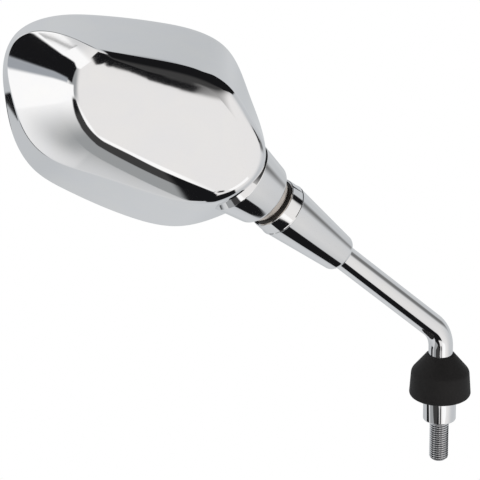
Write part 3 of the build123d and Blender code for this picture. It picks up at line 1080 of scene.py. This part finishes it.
# %% Cloths that show in the skirt and in the panel's lower fold
slate_wall = (0.4, 0.42, 0.45)
dark_cloth = (0.056, 0.055, 0.055)
black_cloth = (0.01, 0.01, 0.011)
skirt_cards = [
    (black_cloth, 0.03, [(95, 192), (95, 214), (114, 214), (114, 192)]),
    (black_cloth, 0.006, [(128.1, 182), (127.3, 187.5), (126.6, 191.5), (131, 194), (133, 182)]),
    (
        black_cloth,
        0.015,
        [(63, 166.5), (63.5, 149), (71, 143.8), (83, 142.8), (88, 144), (88, 161)],
    ),
    (slate_wall, 0.02, [(70, 163.5), (70, 167.5), (92, 166.5), (92, 160)]),
    (black_cloth, 0.002, [(84.75, 141.5), (83.3, 132.5), (83.55, 132.5), (85.0, 141.5)]),
    (black_cloth, 0.03, [(97, 97), (97, 138), (118, 120), (118, 94)]),
]
fold_cards = [
    (dark_cloth, 0.02, [(57, 180), (54.5, 203), (68, 206), (67.5, 194), (63, 180)]),
    (dark_cloth, 0.02, [(54.5, 201), (50.5, 223), (68, 226), (68, 201)]),
    (dark_cloth, 0.025, [(51, 221), (43.5, 238), (46, 251), (67.5, 251), (68, 221)]),
    (black_cloth, 0.04, [(58, 179), (58, 190), (65, 191), (63, 179)]),
    (black_cloth, 0.015, [(45, 249), (45, 256.5), (66, 270), (100, 268), (88, 249.5)]),
]
print("cards for skirt and fold:", len(skirt_cards), len(fold_cards))

# %% Cards that show in the stem and along the top
dim_wall = (0.2, 0.2, 0.2)
stem_cards = [
    (
        black_cloth,
        0.02,
        [(72, 268), (62, 290), (62, 295), (97, 296), (118, 275), (107, 266), (90, 262)],
    ),
    (dark_cloth, 0.04, [(43, 267), (43, 278), (54, 278), (54, 267)]),
    (softbox, 0.02, [(44, 286), (44, 312), (62, 314), (59, 290)]),
    (dim_wall, 0.12, [(78, 4), (82, 24), (112, 24), (116, 4)]),
    (black_cloth, 0.04, [(78, 16), (84, 31), (98, 31), (96, 17)]),
]
top_cards = [
    (dark_cloth, 0.005, [(8.0, 48, 0.012), (7.4, 78), (80, 78), (80, 46, 0.1)]),
    (dark_cloth, 0.004, [(7.6, 70), (8.5, 98), (70, 98), (80, 70)]),
    (dark_cloth, 0.004, [(8.0, 90), (10.3, 115), (64, 113), (75, 90)]),
    (black_cloth, 0.005, [(9.8, 111), (14.9, 129.5), (60, 127), (66, 108)]),
    (black_cloth, 0.006, [(14, 127), (21.5, 141.5), (42, 139.7), (59, 135.5), (63, 125)]),
    (black_cloth, 0.006, [(7.4, 66), (8.5, 98), (10.6, 98), (9.4, 66)]),
    (black_cloth, 0.006, [(8.1, 93), (10.3, 115), (14, 113), (10.5, 93)]),
    (black_cloth, 0.03, [(45, 60, 0.2), (45, 100), (75, 95), (121, 87.5), (122, 75), (80, 46)]),
    (black_cloth, 0.012, [(60, 50), (60, 80), (122, 80), (128.5, 67), (151.5, 45), (100, 41)]),
]
cards = pale_cards + skirt_cards + fold_cards + stem_cards + top_cards
print("cards in the room:", len(cards))


# %% [markdown]
# ## Putting the room together
# The far wall is a little uneven, as a lit wall is, and fades to white behind the camera.
# The cards go over it one by one. A real backdrop would have to be lit until it is white,
# and that light would fall on the chrome too. A switch on the kind of ray does it without:
# the camera itself sees plain white, and everything else sees the room.

# %% Paint the walls
def painted(under, mask, colour):
    """Lays a colour over what is under it, where the mask is 1."""
    mix = room.nodes.new("ShaderNodeMix")
    mix.data_type = "RGBA"
    room.links.new(mask, mix.inputs["Factor"])
    room.links.new(under, mix.inputs["A"])
    mix.inputs["B"].default_value = (*colour, 1)
    return mix.outputs["Result"]


uneven = room.nodes.new("ShaderNodeTexNoise")
uneven.inputs["Scale"].default_value = 1.3
uneven.inputs["Detail"].default_value = 1.0
room.links.new(way, uneven.inputs["Vector"])
far_wall = blended(room, uneven.outputs["Fac"], (0.56, 0.58, 0.595), (0.7, 0.715, 0.73))
walls = painted(far_wall, side_of(view_back, 0.45, 0.1), white_wall)
for colour, soft, corners in cards:
    walls = painted(walls, card(corners, soft), colour)

path = room.nodes.new("ShaderNodeLightPath")
seen = painted(walls, path.outputs["Is Camera Ray"], (1, 1, 1))
sky = room.nodes.new("ShaderNodeBackground")
room.links.new(seen, sky.inputs["Color"])
room_end = room.nodes.new("ShaderNodeOutputWorld")
room.links.new(sky.outputs["Background"], room_end.inputs["Surface"])
print("nodes in the room:", len(room.nodes))

# %% [markdown]
# ## The floor
# A pale floor lies under the stud's tip. A lit floor would show grey in the picture, so
# the camera sees this one as plain white, as it does the room. Reflections pass it by to
# the pale room beyond, so the chrome stays clean.

# %% Lay the floor
floor_half = 6.0
floor_level = -0.0232
floor_corners = [
    (x * floor_half, y * floor_half, floor_level) for x, y in ((-1, -1), (1, -1), (1, 1), (-1, 1))
]
floor_mesh = bpy.data.meshes.new("floor")
floor_mesh.from_pydata(floor_corners, [], [(0, 1, 2, 3)])
floor_paint = bpy.data.materials.new("floor_paint")
floor_paint.use_nodes = True
tree = floor_paint.node_tree
tree.nodes.clear()
pale = tree.nodes.new("ShaderNodeBsdfDiffuse")
pale.inputs["Color"].default_value = (0.85, 0.85, 0.85, 1)
white = tree.nodes.new("ShaderNodeEmission")
white.inputs["Color"].default_value = (1, 1, 1, 1)
path = tree.nodes.new("ShaderNodeLightPath")
either = tree.nodes.new("ShaderNodeMixShader")
paint_end = tree.nodes.new("ShaderNodeOutputMaterial")
tree.links.new(path.outputs["Is Camera Ray"], either.inputs["Fac"])
tree.links.new(pale.outputs["BSDF"], either.inputs[1])
tree.links.new(white.outputs["Emission"], either.inputs[2])
tree.links.new(either.outputs["Shader"], paint_end.inputs["Surface"])
floor_mesh.materials.append(floor_paint)
floor = bpy.data.objects.new("floor", floor_mesh)
scene.collection.objects.link(floor)
floor.visible_glossy = False
print("floor level:", floor_level)
